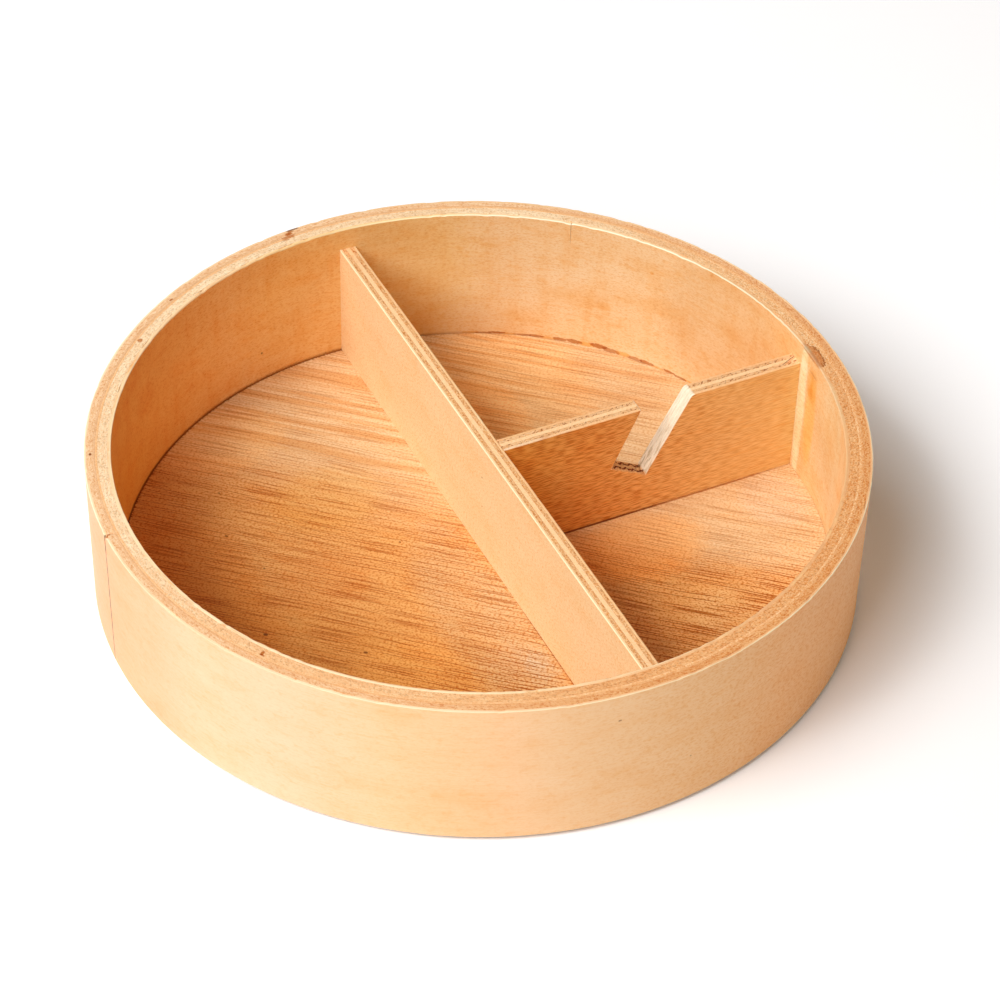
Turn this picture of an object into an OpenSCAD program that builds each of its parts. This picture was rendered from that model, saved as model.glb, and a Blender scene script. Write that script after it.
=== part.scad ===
// Round jewelry box of bent plywood: a laminated rim, a thin base and two glued dividers.
// The box stands on its base at z = 0, centred on the z axis. The main divider runs along y.

/* [Rim] */
// Outside diameter of the rim
outer_d = 230; // [180:1:280]
// Height of the rim's top above the surface that the box stands on
box_h = 50; // [46:0.5:80]
// Thickness of the outer band's face veneer
outer_face_t = 0.8; // [0.6:0.05:1.5]
// Thickness of the outer band's core
outer_core_t = 1.8; // [1:0.1:3]
// Thickness of the outer band's back veneer
outer_back_t = 0.6; // [0.4:0.05:1.2]
// Thickness of the inner band's back veneer
inner_back_t = 0.6; // [0.4:0.05:1.2]
// Thickness of the inner band's core
inner_core_t = 2.8; // [1.5:0.1:4]
// Thickness of the inner band's face veneer
inner_face_t = 1.05; // [0.6:0.05:1.6]
// Radius worn on the rim's outer and inner edges
rim_ease = 0.4; // [0.1:0.05:0.5]
// Where the outer band's ends meet, counted from the x axis
outer_seam_angle = 178.5; // [90:0.5:270]
// Where the inner band's ends meet, counted from the x axis
inner_seam_angle = 49; // [15:0.5:75]
// Gap that is left where a band's ends meet
seam_gap = 0.3; // [0.1:0.05:1]

/* [Base] */
// Thickness of each of the base's two veneers
base_veneer_t = 0.5; // [0.3:0.05:1]
// Thickness of the base's core
base_core_t = 1.2; // [0.8:0.1:3]
// How far the base stands out below the rim
base_proud = 1.2; // [0.4:0.1:1.6]
// Gap between the base's edge and the rim
base_gap = 0.3; // [0.1:0.05:0.6]

/* [Dividers] */
// Height of the dividers above the base
divider_h = 40.3; // [30:0.1:42]
// Thickness of a divider's face veneers
divider_face_t = 0.8; // [0.5:0.05:1.2]
// Thickness of a divider's crossbands
divider_crossband_t = 1.15; // [0.8:0.05:2]
// Thickness of a divider's centre ply
divider_centre_t = 1.3; // [0.8:0.05:2]
// Distance of the main divider's middle from the box's middle
main_offset = 4.3; // [-20:0.1:20]
// Distance of the cross divider's middle from the box's middle
cross_offset = 0; // [-20:0.1:20]
// Radius worn on the dividers' top edges
divider_ease = 0.35; // [0.1:0.05:0.5]
// Gap between a divider's ends and what they are glued to
divider_gap = 0.1; // [0.05:0.05:0.3]

/* [Slot] */
// Distance of the slot's lowest corner from the main divider
slot_reach = 48.2; // [30:0.1:60]
// Height of the slot's lowest corner above the base
slot_sill = 13.8; // [8:0.1:22]
// Width of the slot's floor
slot_floor_w = 13.3; // [6:0.1:18]
// Lean of the slot's far wall and of its floor
slot_lean = 28.5; // [10:0.5:40]
// Lean of the slot's near wall
slot_near_lean = 24.5; // [10:0.5:40]
// Radius on the far corner of the slot's mouth
slot_far_round = 2; // [0.5:0.1:3]
// Radius on the near corner of the slot's mouth
slot_near_round = 0.4; // [0.2:0.1:2]

/* [Glue] */
// Thickness of the glue between two sheets
glue_t = 0.05; // [0.02:0.01:0.1]

/* [Hidden] */
$fn = 180;
ease_steps = 5;
cut_margin = 5;

// Outer radius of each sheet of the rim, from the outside in
outer_r = outer_d / 2;
outer_core_r = outer_r - outer_face_t - glue_t;
outer_back_r = outer_core_r - outer_core_t - glue_t;
inner_back_r = outer_back_r - outer_back_t - glue_t;
inner_core_r = inner_back_r - inner_back_t - glue_t;
inner_face_r = inner_core_r - inner_core_t - glue_t;
inner_r = inner_face_r - inner_face_t;

// Heights
base_core_z = base_veneer_t + glue_t;
base_top_z = base_core_z + base_core_t + glue_t;
floor_z = base_top_z + base_veneer_t;
divider_z = floor_z + glue_t;
divider_top_z = divider_z + divider_h;

// Where each sheet of a divider starts, counted from the board's first face
crossband_1_at = divider_face_t + glue_t;
centre_at = crossband_1_at + divider_crossband_t + glue_t;
crossband_2_at = centre_at + divider_centre_t + glue_t;
face_2_at = crossband_2_at + divider_crossband_t + glue_t;
divider_t = face_2_at + divider_face_t;
main_x = main_offset - divider_t / 2;
cross_y = cross_offset - divider_t / 2;
cross_x = main_x + divider_t + divider_gap;

// Corners of the slot, in the plane of the cross divider
slot_low = [main_x + divider_t + slot_reach, divider_z + slot_sill];
slot_near = slot_low + slot_floor_w * [-cos(slot_lean), sin(slot_lean)];
far_mouth_x = slot_low.x + (divider_top_z - slot_low.y) * tan(slot_lean);
near_mouth_x = slot_near.x + (divider_top_z - slot_near.y) * tan(slot_near_lean);

veneer_colour = [0.96, 0.82, 0.62];
core_colour = [0.82, 0.62, 0.42];
back_colour = [0.88, 0.70, 0.48];
base_colour = [0.72, 0.46, 0.26];

// Points of a quarter round of radius r about a centre, from one angle on
function quarter(centre, r, from) =
    [for (i = [0 : ease_steps]) centre + r * [cos(from + 90 * i / ease_steps), sin(from + 90 * i / ease_steps)]];

// Section of an upright sheet from x = 0 to t, with its top left or top right edge worn round
module sheet_section(t, low, high, ease_left, ease_right) {
    right_top = ease_right > 0 ? quarter([t - ease_right, high - ease_right], ease_right, 0) : [[t, high]];
    left_top = ease_left > 0 ? quarter([ease_left, high - ease_left], ease_left, 90) : [[0, high]];
    polygon(concat([[0, low], [t, low]], right_top, left_top));
}

// One sheet of a bent band, open by the seam's gap at the given angle
module band_sheet(r, t, seam_angle, ease_in = 0, ease_out = 0) {
    gap_angle = 2 * asin(seam_gap / 2 / r);
    rotate(seam_angle + gap_angle / 2)
        rotate_extrude(angle = 360 - gap_angle)
            translate([r - t, 0])
                sheet_section(t, base_proud, box_h, ease_in, ease_out);
}

// One round sheet of the base
module base_sheet(z, t) {
    translate([0, 0, z])
        cylinder(r = inner_r - base_gap, h = t);
}

// The room between the rim's walls that the dividers are trimmed to
module inside_rim() {
    translate([0, 0, floor_z - cut_margin])
        cylinder(r = inner_r - divider_gap, h = divider_top_z - floor_z + 2 * cut_margin);
}

// One sheet of the main divider, from wall to wall
module main_sheet(at, t, ease_left = 0, ease_right = 0) {
    intersection() {
        translate([main_x + at, inner_r, 0])
            rotate([90, 0, 0])
                linear_extrude(2 * inner_r)
                    sheet_section(t, divider_z, divider_top_z, ease_left, ease_right);
        inside_rim();
    }
}

// Rounds a corner of the slot's mouth: the wall leans by lean from upright and side is 1 at the far wall
module mouth_round(mouth_x, lean, r, side) {
    corner = side > 0 ? 90 + lean : 90 - lean;
    run = r / tan(corner / 2);
    centre = [mouth_x + side * run, divider_top_z - r];
    wall_foot = [mouth_x - run * sin(lean), divider_top_z - run * cos(lean)];
    polygon(concat(
        [[mouth_x, divider_top_z + cut_margin], [mouth_x - side * cut_margin, divider_top_z], wall_foot],
        [for (i = [1 : ease_steps])
            let (a = 90 + side * (90 - lean * side) * (1 - i / ease_steps))
                centre + r * [cos(a), sin(a)]],
        [[centre.x, divider_top_z + cut_margin]]
    ));
}

// Outline of the slanted slot, open at the top, with the corners of its mouth rounded
module slot_outline() {
    rise = cut_margin * [tan(slot_lean), 1];
    near_rise = cut_margin * [tan(slot_near_lean), 1];
    polygon([
        slot_low,
        [far_mouth_x, divider_top_z] + rise,
        [near_mouth_x, divider_top_z] + near_rise,
        slot_near
    ]);
    mouth_round(far_mouth_x, slot_lean, slot_far_round, 1);
    mouth_round(near_mouth_x, slot_near_lean, slot_near_round, -1);
}

// One sheet of the cross divider, from the main divider to the wall
module cross_sheet(at, t, ease_front = 0, ease_back = 0) {
    difference() {
        intersection() {
            translate([cross_x, cross_y + at, 0])
                rotate([90, 0, 90])
                    linear_extrude(inner_r)
                        sheet_section(t, divider_z, divider_top_z, ease_front, ease_back);
            inside_rim();
        }
        translate([0, cross_y + divider_t + cut_margin, 0])
            rotate([90, 0, 0])
                linear_extrude(divider_t + 2 * cut_margin)
                    slot_outline();
    }
}

module outer_face_veneer() {
    color(veneer_colour) band_sheet(outer_r, outer_face_t, outer_seam_angle, ease_out = rim_ease);
}

module outer_core() {
    color(core_colour) band_sheet(outer_core_r, outer_core_t, outer_seam_angle);
}

module outer_back_veneer() {
    color(back_colour) band_sheet(outer_back_r, outer_back_t, outer_seam_angle);
}

module inner_back_veneer() {
    color(back_colour) band_sheet(inner_back_r, inner_back_t, inner_seam_angle);
}

module inner_core() {
    color(core_colour) band_sheet(inner_core_r, inner_core_t, inner_seam_angle);
}

module inner_face_veneer() {
    color(veneer_colour) band_sheet(inner_face_r, inner_face_t, inner_seam_angle, ease_in = rim_ease);
}

module base_top_veneer() {
    color(base_colour) base_sheet(base_top_z, base_veneer_t);
}

module base_core() {
    color(core_colour) base_sheet(base_core_z, base_core_t);
}

module base_bottom_veneer() {
    color(base_colour) base_sheet(0, base_veneer_t);
}

module main_divider_left_face() {
    color(veneer_colour) main_sheet(0, divider_face_t, ease_left = divider_ease);
}

module main_divider_left_crossband() {
    color(core_colour) main_sheet(crossband_1_at, divider_crossband_t);
}

module main_divider_centre() {
    color(back_colour) main_sheet(centre_at, divider_centre_t);
}

module main_divider_right_crossband() {
    color(core_colour) main_sheet(crossband_2_at, divider_crossband_t);
}

module main_divider_right_face() {
    color(veneer_colour) main_sheet(face_2_at, divider_face_t, ease_right = divider_ease);
}

module cross_divider_front_face() {
    color(veneer_colour) cross_sheet(0, divider_face_t, ease_front = divider_ease);
}

module cross_divider_front_crossband() {
    color(core_colour) cross_sheet(crossband_1_at, divider_crossband_t);
}

module cross_divider_centre() {
    color(back_colour) cross_sheet(centre_at, divider_centre_t);
}

module cross_divider_back_crossband() {
    color(core_colour) cross_sheet(crossband_2_at, divider_crossband_t);
}

module cross_divider_back_face() {
    color(veneer_colour) cross_sheet(face_2_at, divider_face_t, ease_back = divider_ease);
}

outer_face_veneer();
outer_core();
outer_back_veneer();
inner_back_veneer();
inner_core();
inner_face_veneer();
base_top_veneer();
base_core();
base_bottom_veneer();
main_divider_left_face();
main_divider_left_crossband();
main_divider_centre();
main_divider_right_crossband();
main_divider_right_face();
cross_divider_front_face();
cross_divider_front_crossband();
cross_divider_centre();
cross_divider_back_crossband();
cross_divider_back_face();
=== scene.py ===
# Looks of the round plywood jewelry box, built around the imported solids.
import math

import bmesh
import bpy
from mathutils import Matrix, Vector, noise


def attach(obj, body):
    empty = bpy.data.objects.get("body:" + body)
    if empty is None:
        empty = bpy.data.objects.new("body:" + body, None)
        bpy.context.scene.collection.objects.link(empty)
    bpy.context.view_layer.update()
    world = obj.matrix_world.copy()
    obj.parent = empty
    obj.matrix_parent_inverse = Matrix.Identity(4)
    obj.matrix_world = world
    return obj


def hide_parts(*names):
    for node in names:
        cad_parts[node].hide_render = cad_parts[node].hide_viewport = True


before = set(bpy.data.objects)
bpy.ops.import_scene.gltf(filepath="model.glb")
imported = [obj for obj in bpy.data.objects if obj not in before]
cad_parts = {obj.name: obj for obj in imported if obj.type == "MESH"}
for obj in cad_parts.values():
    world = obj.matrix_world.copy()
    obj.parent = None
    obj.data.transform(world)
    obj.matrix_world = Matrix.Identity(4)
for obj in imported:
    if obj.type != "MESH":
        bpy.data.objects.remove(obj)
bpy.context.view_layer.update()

# Sizes in millimetres, the same as in the solids
MM = 0.001
BOX_H = 50.0
RIM_LOW = 1.2
OUTER_FACE_T = 0.8
OUTER_CORE_T = 1.8
BACK_T = 0.6
INNER_CORE_T = 2.8
INNER_FACE_T = 1.05
GLUE_T = 0.05
OUTER_SEAM = 178.5
INNER_SEAM = 49.0
SEAM_GAP = 0.3
BASE_VENEER_T = 0.5
BASE_CORE_T = 1.2
DIVIDER_H = 40.3
DIVIDER_FACE_T = 0.8
DIVIDER_CROSSBAND_T = 1.15
DIVIDER_CENTRE_T = 1.3
MAIN_OFFSET = 4.3
SLOT_REACH = 48.2
SLOT_SILL = 13.8
SLOT_FLOOR_W = 13.3
SLOT_LEAN = 28.5
SLOT_NEAR_LEAN = 24.5
SLOT_FAR_ROUND = 2.0
SLOT_NEAR_ROUND = 0.4

# Sizes that differ from the solids: the radius stays inside their box, and glue fills the gaps
OUTER_R = 114.97
CLOSED_GAP = 0.004
BASE_GAP = 0.12
BASE_SHIFT = (0.09, -0.03)
DIVIDER_GAP = 0.02

# Places that follow from the sizes
OUTER_CORE_R = OUTER_R - OUTER_FACE_T - GLUE_T
OUTER_BACK_R = OUTER_CORE_R - OUTER_CORE_T - GLUE_T
INNER_BACK_R = OUTER_BACK_R - BACK_T - GLUE_T
INNER_CORE_R = INNER_BACK_R - BACK_T - GLUE_T
INNER_FACE_R = INNER_CORE_R - INNER_CORE_T - GLUE_T
INNER_R = INNER_FACE_R - INNER_FACE_T
BASE_R = INNER_R - BASE_GAP
BASE_CORE_Z = BASE_VENEER_T + GLUE_T
BASE_TOP_Z = BASE_CORE_Z + BASE_CORE_T + GLUE_T
FLOOR_Z = BASE_TOP_Z + BASE_VENEER_T
DIVIDER_LOW = FLOOR_Z + GLUE_T
DIVIDER_TOP = DIVIDER_LOW + DIVIDER_H
CROSSBAND_1_AT = DIVIDER_FACE_T + GLUE_T
CENTRE_AT = CROSSBAND_1_AT + DIVIDER_CROSSBAND_T + GLUE_T
CROSSBAND_2_AT = CENTRE_AT + DIVIDER_CENTRE_T + GLUE_T
FACE_2_AT = CROSSBAND_2_AT + DIVIDER_CROSSBAND_T + GLUE_T
DIVIDER_T = FACE_2_AT + DIVIDER_FACE_T
MAIN_X = MAIN_OFFSET - DIVIDER_T / 2
CROSS_X = MAIN_X + DIVIDER_T + DIVIDER_GAP
CROSS_Y = -DIVIDER_T / 2
SLOT_LOW = (MAIN_X + DIVIDER_T + SLOT_REACH, DIVIDER_LOW + SLOT_SILL)
LEAN = math.radians(SLOT_LEAN)
NEAR_LEAN = math.radians(SLOT_NEAR_LEAN)
SLOT_NEAR = (SLOT_LOW[0] - SLOT_FLOOR_W * math.cos(LEAN), SLOT_LOW[1] + SLOT_FLOOR_W * math.sin(LEAN))
FAR_MOUTH_X = SLOT_LOW[0] + (DIVIDER_TOP - SLOT_LOW[1]) * math.tan(LEAN)
NEAR_MOUTH_X = SLOT_NEAR[0] + (DIVIDER_TOP - SLOT_NEAR[1]) * math.tan(NEAR_LEAN)

# Fineness and limits of the meshes
RING_STEPS = 900
WALL_ROWS = 6
CORNER_STEPS = 4
EDGE_STEP = 0.8
ROUGH_STEP = 0.22
SHARP_ANGLE = math.radians(50)
MITRE_LEAST = 0.35
HIDDEN_MARGIN = 0.5

# Wear: edge radii and how far they wander
FACE_EASE = 0.3
CUT_EASE = 0.06
INNER_EASE = 0.28
HIDDEN_EASE = 0.02
CHIPPED = 0.22
EASE_WANDER = 0.35
TOP_WANDER = 0.07
WALL_WANDER = 0.16
CUT_ROUGH = 0.03

# How fast the wear changes round the rim, in cells of noise for each radian
CHIP_RATE = 38
TOP_RATE = 9
EASE_RATE = 22
WALL_RATE = 4
BASE_RATE = 30

# Direction of the base's grain, in degrees from +X
BASE_GRAIN = -41.0

# Burnt zig-zag lines on the slot's floor, along the crossbands: half a period and half the swing
ZIG_STEP = 1.45
ZIG_REACH = 0.6
ZIG_LINE = DIVIDER_T / 2 - CROSSBAND_1_AT - DIVIDER_CROSSBAND_T / 2

# Side on which shade is painted along the wall's foot and the base beside it, as an azimuth
FOOT_SHADE_SIDE = 140.0

# Split in the cross divider's top: its middle, and how far it runs across for each mm along
SPLIT_AT = (104.4, 0.0)
SPLIT_SLOPE = 0.43

# Glue along the foot of the back wall, from one angle to another
GLUE_FROM = 18.0
GLUE_TO = 66.0
GLUE_BLOTS = 22
GLUE_THICKEST = 42.0

# The camera that the photograph was taken with, in millimetres and degrees
CAMERA_AT = (-304.396, -626.514, 637.561)
CAMERA_ELEVATION = 41.386
CAMERA_AZIMUTH = -26.455
CAMERA_ROLL = 1.472
CAMERA_LENS = 112.2
SENSOR = 36.0


# Small helpers

def srgb(r, g, b):
    """A colour written as 0 to 255 screen values, as the linear colour that a shader takes."""
    def linear(value):
        c = value / 255
        return c / 12.92 if c <= 0.04045 else ((c + 0.055) / 1.055) ** 2.4
    return (linear(r), linear(g), linear(b), 1.0)


def wander(a, b, seed):
    """Smooth noise from -1 to 1 over two lengths."""
    return noise.noise(Vector((a, b, seed)))


def smooth(low, high, value):
    """0 below low, 1 above high, smooth between."""
    t = min(max((value - low) / (high - low), 0.0), 1.0)
    return t * t * (3 - 2 * t)


# Colours

SLOT_PALE = srgb(246, 230, 204)
SLOT_GREY = srgb(190, 166, 128)
BASE_PALE = srgb(233, 195, 146)
BASE_ORANGE = srgb(230, 165, 95)
BASE_BROWN = srgb(222, 151, 75)
# Colour of worn cut corners, which also paints the highlight that runs along them
RUBBED_GLEAM = srgb(255, 241, 208)

# How strong grit is from side to side, as (azimuth, far): 1 on that side, far on the opposite one
EVEN = (0.0, 1.0)
RIM_GRITTY = (325.0, 0.4)

# Grit on a veneer's cut edge, and the depth of the fine relief in mm
VENEER_GRIT = 0.3
BUMP_DEPTH = 0.2

# Tints that multiply a colour
DEEPER = (0.97, 0.85, 0.68)
PALER = (1.02, 1.07, 1.16)
SPECK = (0.90, 0.68, 0.44)
FLECK = (0.78, 0.60, 0.42)
FRECKLE = (0.86, 0.62, 0.37)
RIPPLE = (1.12, 1.24, 1.42)
BAND = (0.91, 0.74, 0.57)
LINE = (0.86, 0.64, 0.44)
GRIT = (0.77, 0.51, 0.31)
PORE = (0.58, 0.34, 0.17)
LIGHT = (1.05, 1.15, 1.28)
PATCH = (0.98, 0.82, 0.60)
INK = (0.18, 0.10, 0.05)
TICK = (0.33, 0.17, 0.08)
RUST = (0.58, 0.30, 0.14)
FILLER = (0.66, 0.50, 0.40)
FILLER_EDGE = (0.44, 0.27, 0.16)
FILLER_FILL = (1.75, 2.1, 2.6)
AMBER = (0.94, 0.70, 0.34)
HONEY = (1.0, 0.95, 0.62)
BRUISE = (0.80, 0.45, 0.30)
SEAM_LINE = (0.08, 0.16, 0.14)
# Painted sheen: reflected light that makes the base paler and bluer where it falls
PAINTED_SHEEN = (0.93, 1.10, 1.55)
# Painted highlight: a pale strip on the inner wall
PAINTED_GLEAM = (1.02, 1.50, 2.0)
# Painted reflected light: paler base along the main divider's left foot
REFLECTED_LIGHT = (0.96, 1.05, 1.2)
GOLD = (1.14, 1.10, 0.98)
EMBER = (1.13, 1.02, 0.87)
MUTED = (0.98, 1.15, 1.45)
TAN = (0.97, 0.90, 0.85)
FRESH = (1.09, 1.12, 1.14)
SOFTER = (0.95, 1.07, 1.20)
# Painted shade on the base beside the main divider's right foot
DIVIDER_SHADE = (0.86, 0.72, 0.70)
SHADED = (0.92, 0.89, 0.86)
# Painted shade along the foot of the rim
FOOT_SHADE = (0.50, 0.30, 0.16)
SCORCH = (0.86, 0.68, 0.50)
BURNT = (0.27, 0.07, 0.005)


# Meshes

def add_piece(node, slot, material, verts, faces, grain, wear):
    """One sheet of wood that stands for a CAD node. grain holds (along, across, through) in mm,
    wear holds (cut edge, slot wall, charred), each from 0 to 1."""
    mesh = bpy.data.meshes.new(node + "_wood")
    mesh.from_pydata([Vector(v) * MM for v in verts], [], faces)
    for name, rows in (("grain", grain), ("wear", wear)):
        layer = mesh.attributes.new(name, "FLOAT_VECTOR", "POINT")
        layer.data.foreach_set("vector", [c for row in rows for c in row])
    bm = bmesh.new()
    bm.from_mesh(mesh)
    bmesh.ops.recalc_face_normals(bm, faces=bm.faces)
    bm.to_mesh(mesh)
    bm.free()
    mesh.shade_smooth()
    mesh.set_sharp_from_angle(angle=SHARP_ANGLE)
    mesh.materials.append(material)
    obj = bpy.data.objects.new(node + "_wood", mesh)
    bpy.context.collection.objects.link(obj)
    weighted = obj.modifiers.new("weighted_normals", "WEIGHTED_NORMAL")
    weighted.keep_sharp = True
    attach(obj, "root")
    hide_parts(node)


def skin(loops, count):
    """Faces over so many loops of count points each: quads from loop to loop, and a cap at each end."""
    faces = []
    for level in range(loops - 1):
        for i in range(count):
            a = level * count + i
            b = level * count + (i + 1) % count
            faces.append((a, b, b + count, a + count))
    faces.append(tuple(range(count - 1, -1, -1)))
    end = (loops - 1) * count
    faces.append(tuple(end + i for i in range(count)))
    return faces


def corner(cx, cy, r, start):
    """Points of a quarter round about (cx, cy), from the start angle on."""
    rows = []
    for k in range(CORNER_STEPS + 1):
        a = math.radians(start + 90 * k / CORNER_STEPS)
        rows.append((cx + r * math.cos(a), cy + r * math.sin(a)))
    return rows


def sheet_profile(r_in, r_out, low, top, ease_in, ease_out):
    """Section of a bent sheet as (radius, height, cut) points, counter-clockwise from the bottom."""
    outer_rise = (top - low - 2 * ease_out) / WALL_ROWS
    inner_rise = (top - low - 2 * ease_in) / WALL_ROWS
    outer_side = [(r_out, low + ease_out + outer_rise * k) for k in range(1, WALL_ROWS)]
    inner_side = [(r_in, top - ease_in - inner_rise * k) for k in range(1, WALL_ROWS)]
    points = corner(r_in + ease_in, low + ease_in, ease_in, 180)
    points += corner(r_out - ease_out, low + ease_out, ease_out, 270)
    points += outer_side
    points += corner(r_out - ease_out, top - ease_out, ease_out, 0)
    points += corner(r_in + ease_in, top - ease_in, ease_in, 90)
    points += inner_side
    near = 1e-6
    rows = []
    for r, z in points:
        ease = ease_out if r > (r_in + r_out) / 2 else ease_in
        flat = low + ease - near <= z <= top - ease + near
        rows.append((r, z, 0.0 if flat else 1.0))
    return rows


def chip_depth(angle, chips):
    """How far chips take the top edge down at an angle. A chip is (angle, half width, depth)."""
    depth = 0.0
    for centre, half, deep in chips:
        away = abs((angle - centre + 180) % 360 - 180)
        depth = max(depth, deep * (1 - smooth(0.3 * half, half, away)))
    return depth


def ring_sheet(node, slot, material, r_out, t, seam, gap_at, ease_in=CUT_EASE, ease_out=CUT_EASE,
               chips=(), chipped=0.0, seed=0.0):
    """One bent sheet of the rim. gap_at gives the seam's gap in mm at a height, chips are placed by angle,
    and chipped is how deep the small ones go that wander along the edge."""
    verts = []
    grain = []
    wear = []
    r_in = r_out - t
    mean_r = r_out - t / 2
    for i in range(RING_STEPS + 1):
        share = i / RING_STEPS
        angle = seam + 360 * share
        turn = math.radians(angle)
        ux = math.cos(turn)
        uy = math.sin(turn)
        nicked = smooth(0.1, 0.5, wander(CHIP_RATE * ux, CHIP_RATE * uy, seed + 9.3))
        worn = chip_depth(angle, chips) + chipped * nicked
        top = BOX_H - TOP_WANDER * (0.5 + 0.5 * wander(TOP_RATE * ux, TOP_RATE * uy, seed)) - worn
        slack = 1 + EASE_WANDER * wander(EASE_RATE * ux, EASE_RATE * uy, seed + 3.1)
        rows = sheet_profile(r_in, r_out, RIM_LOW, top, ease_in * slack, ease_out * slack)
        for r, z, cut in rows:
            sag = 0.0
            if cut == 0.0 and r == r_out and ease_out == FACE_EASE:
                bulge = wander(WALL_RATE * ux, WALL_RATE * uy + z / 30, seed + 5.7)
                sag = WALL_WANDER * (0.5 + 0.5 * bulge)
            half_gap = math.degrees(gap_at(z) / 2 / mean_r)
            a = math.radians(seam + half_gap + (360 - 2 * half_gap) * share)
            verts.append(((r - sag) * math.cos(a), (r - sag) * math.sin(a), z))
            grain.append((2 * math.pi * mean_r * share, z, r_out - r))
            wear.append((cut, 0.0, 0.0))
    add_piece(node, slot, material, verts, skin(RING_STEPS + 1, len(rows)), grain, wear)


def disc_sheet(node, slot, material, low, top, grain_angle):
    """One round sheet of the base, with its grain turned by an angle."""
    verts = []
    grain = []
    wear = []
    along = (math.cos(math.radians(grain_angle)), math.sin(math.radians(grain_angle)))
    levels = [(BASE_R - CUT_EASE, low, 0.0), (BASE_R, low + CUT_EASE, 1.0)]
    levels += [(BASE_R, top - CUT_EASE, 1.0), (BASE_R - CUT_EASE, top, 0.0)]
    for r, z, cut in levels:
        for i in range(RING_STEPS):
            a = 2 * math.pi * i / RING_STEPS
            rough = CUT_ROUGH * wander(BASE_RATE * math.cos(a), BASE_RATE * math.sin(a), low)
            x = (r + rough - CUT_ROUGH) * math.cos(a)
            y = (r + rough - CUT_ROUGH) * math.sin(a)
            verts.append((x + BASE_SHIFT[0], y + BASE_SHIFT[1], z))
            grain.append((x * along[0] + y * along[1], -x * along[1] + y * along[0], z - low))
            wear.append((cut, 0.0, 0.0))
    add_piece(node, slot, material, verts, skin(len(levels), RING_STEPS), grain, wear)


def stretch(start, end, step, wear):
    """Points from start up to, but without, end, no more than step apart."""
    length = math.dist(start, end)
    count = max(1, round(length / step))
    rows = []
    for k in range(count):
        s = k / count
        rows.append((start[0] + (end[0] - start[0]) * s, start[1] + (end[1] - start[1]) * s, wear))
    return rows


def mouth_corner(mouth_x, lean, r, side):
    """Rounded corner of the slot's mouth, from the top edge to the wall at the far side (1) or back (-1)."""
    angle = math.pi / 2 + side * lean
    run = r / math.tan(angle / 2)
    cx = mouth_x + side * run
    cz = DIVIDER_TOP - r
    rows = []
    for k in range(CORNER_STEPS + 1):
        a = math.pi / 2 + side * (math.pi / 2 - side * lean) * k / CORNER_STEPS
        rows.append((cx + r * math.cos(a), cz + r * math.sin(a), "slot" if k else "cut"))
    return rows if side > 0 else rows[::-1]


def main_outline():
    """Outline of the main divider as (length, height, wear) points, counter-clockwise."""
    reach = INNER_R
    rows = stretch((-reach, DIVIDER_LOW), (reach, DIVIDER_LOW), EDGE_STEP, "cut")
    rows += stretch((reach, DIVIDER_LOW), (reach, DIVIDER_TOP), EDGE_STEP, "cut")
    rows += stretch((reach, DIVIDER_TOP), (-reach, DIVIDER_TOP), EDGE_STEP, "cut")
    rows += stretch((-reach, DIVIDER_TOP), (-reach, DIVIDER_LOW), EDGE_STEP, "cut")
    return rows


def cross_outline():
    """Outline of the cross divider with its slot, as (length, height, wear) points, counter-clockwise."""
    far = mouth_corner(FAR_MOUTH_X, LEAN, SLOT_FAR_ROUND, 1)
    near = mouth_corner(NEAR_MOUTH_X, NEAR_LEAN, SLOT_NEAR_ROUND, -1)
    rows = stretch((CROSS_X, DIVIDER_LOW), (INNER_R, DIVIDER_LOW), EDGE_STEP, "cut")
    rows += stretch((INNER_R, DIVIDER_LOW), (INNER_R, DIVIDER_TOP), EDGE_STEP, "cut")
    rows += stretch((INNER_R, DIVIDER_TOP), far[0][:2], EDGE_STEP, "cut")
    rows += far[:-1]
    rows += stretch(far[-1][:2], SLOT_LOW, EDGE_STEP, "slot")
    rows += stretch(SLOT_LOW, SLOT_NEAR, ROUGH_STEP, "char")
    rows += stretch(SLOT_NEAR, near[0][:2], EDGE_STEP, "slot")
    rows += near[:-1]
    rows += stretch(near[-1][:2], (CROSS_X, DIVIDER_TOP), EDGE_STEP, "cut")
    rows += stretch((CROSS_X, DIVIDER_TOP), (CROSS_X, DIVIDER_LOW), EDGE_STEP, "cut")
    return rows


def inward(outline, i):
    """Direction from a point of a counter-clockwise outline into it, as long as a unit offset needs."""
    here = outline[i]
    before = outline[i - 1]
    after = outline[(i + 1) % len(outline)]
    d1 = Vector((here[0] - before[0], here[1] - before[1])).normalized()
    d2 = Vector((after[0] - here[0], after[1] - here[1])).normalized()
    n1 = Vector((-d1.y, d1.x))
    n2 = Vector((-d2.y, d2.x))
    total = n1 + n2
    return total / max(MITRE_LEAST, 1 + n1.dot(n2))


WEAR = {"cut": (1.0, 0.0, 0.0), "slot": (1.0, 1.0, 0.0), "char": (1.0, 0.0, 1.0)}
FLAT = (0.0, 0.0, 0.0)


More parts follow.
